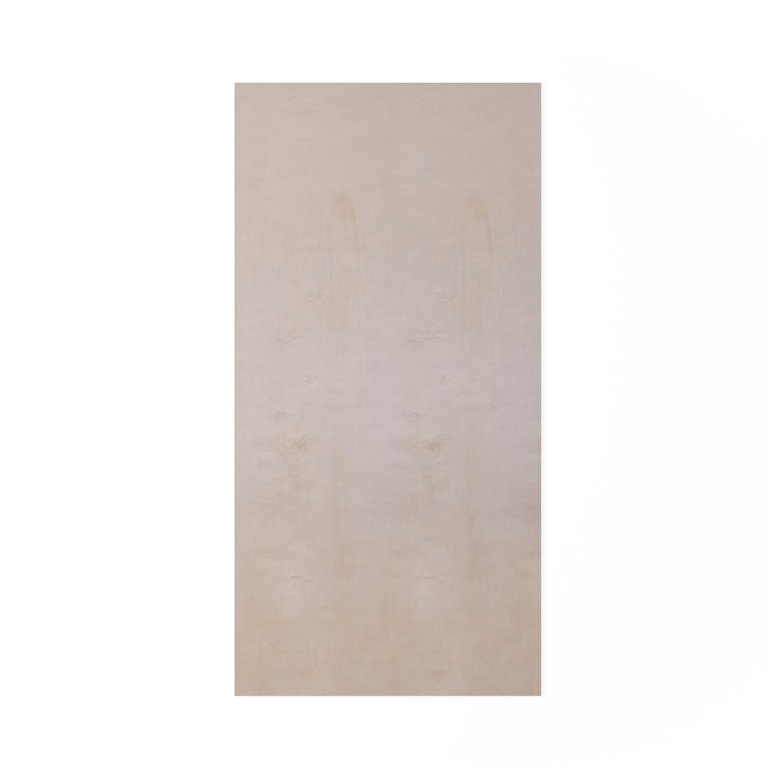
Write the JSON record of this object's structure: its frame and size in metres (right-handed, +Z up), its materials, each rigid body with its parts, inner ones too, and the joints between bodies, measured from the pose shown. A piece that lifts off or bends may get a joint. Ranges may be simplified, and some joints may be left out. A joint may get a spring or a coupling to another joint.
{
  "type": "plywood sheet",
  "caption": "Flat rectangular sheet of hardwood plywood, with a pale rotary-cut face and cross-laid plies showing at its sawn edges.",
  "frame": {"origin": "middle of the underside, on the floor the sheet lies on", "axes": "+X across the sheet, +Y along the face grain, +Z up out of the good face"},
  "size_m": [1.2192, 2.4384, 0.0182],
  "materials": {
    "hardwood_plywood": "satin"
  },
  "bodies": {
    "root": {"plywood_sheet": "hardwood_plywood"}
  },
  "joints": []
}
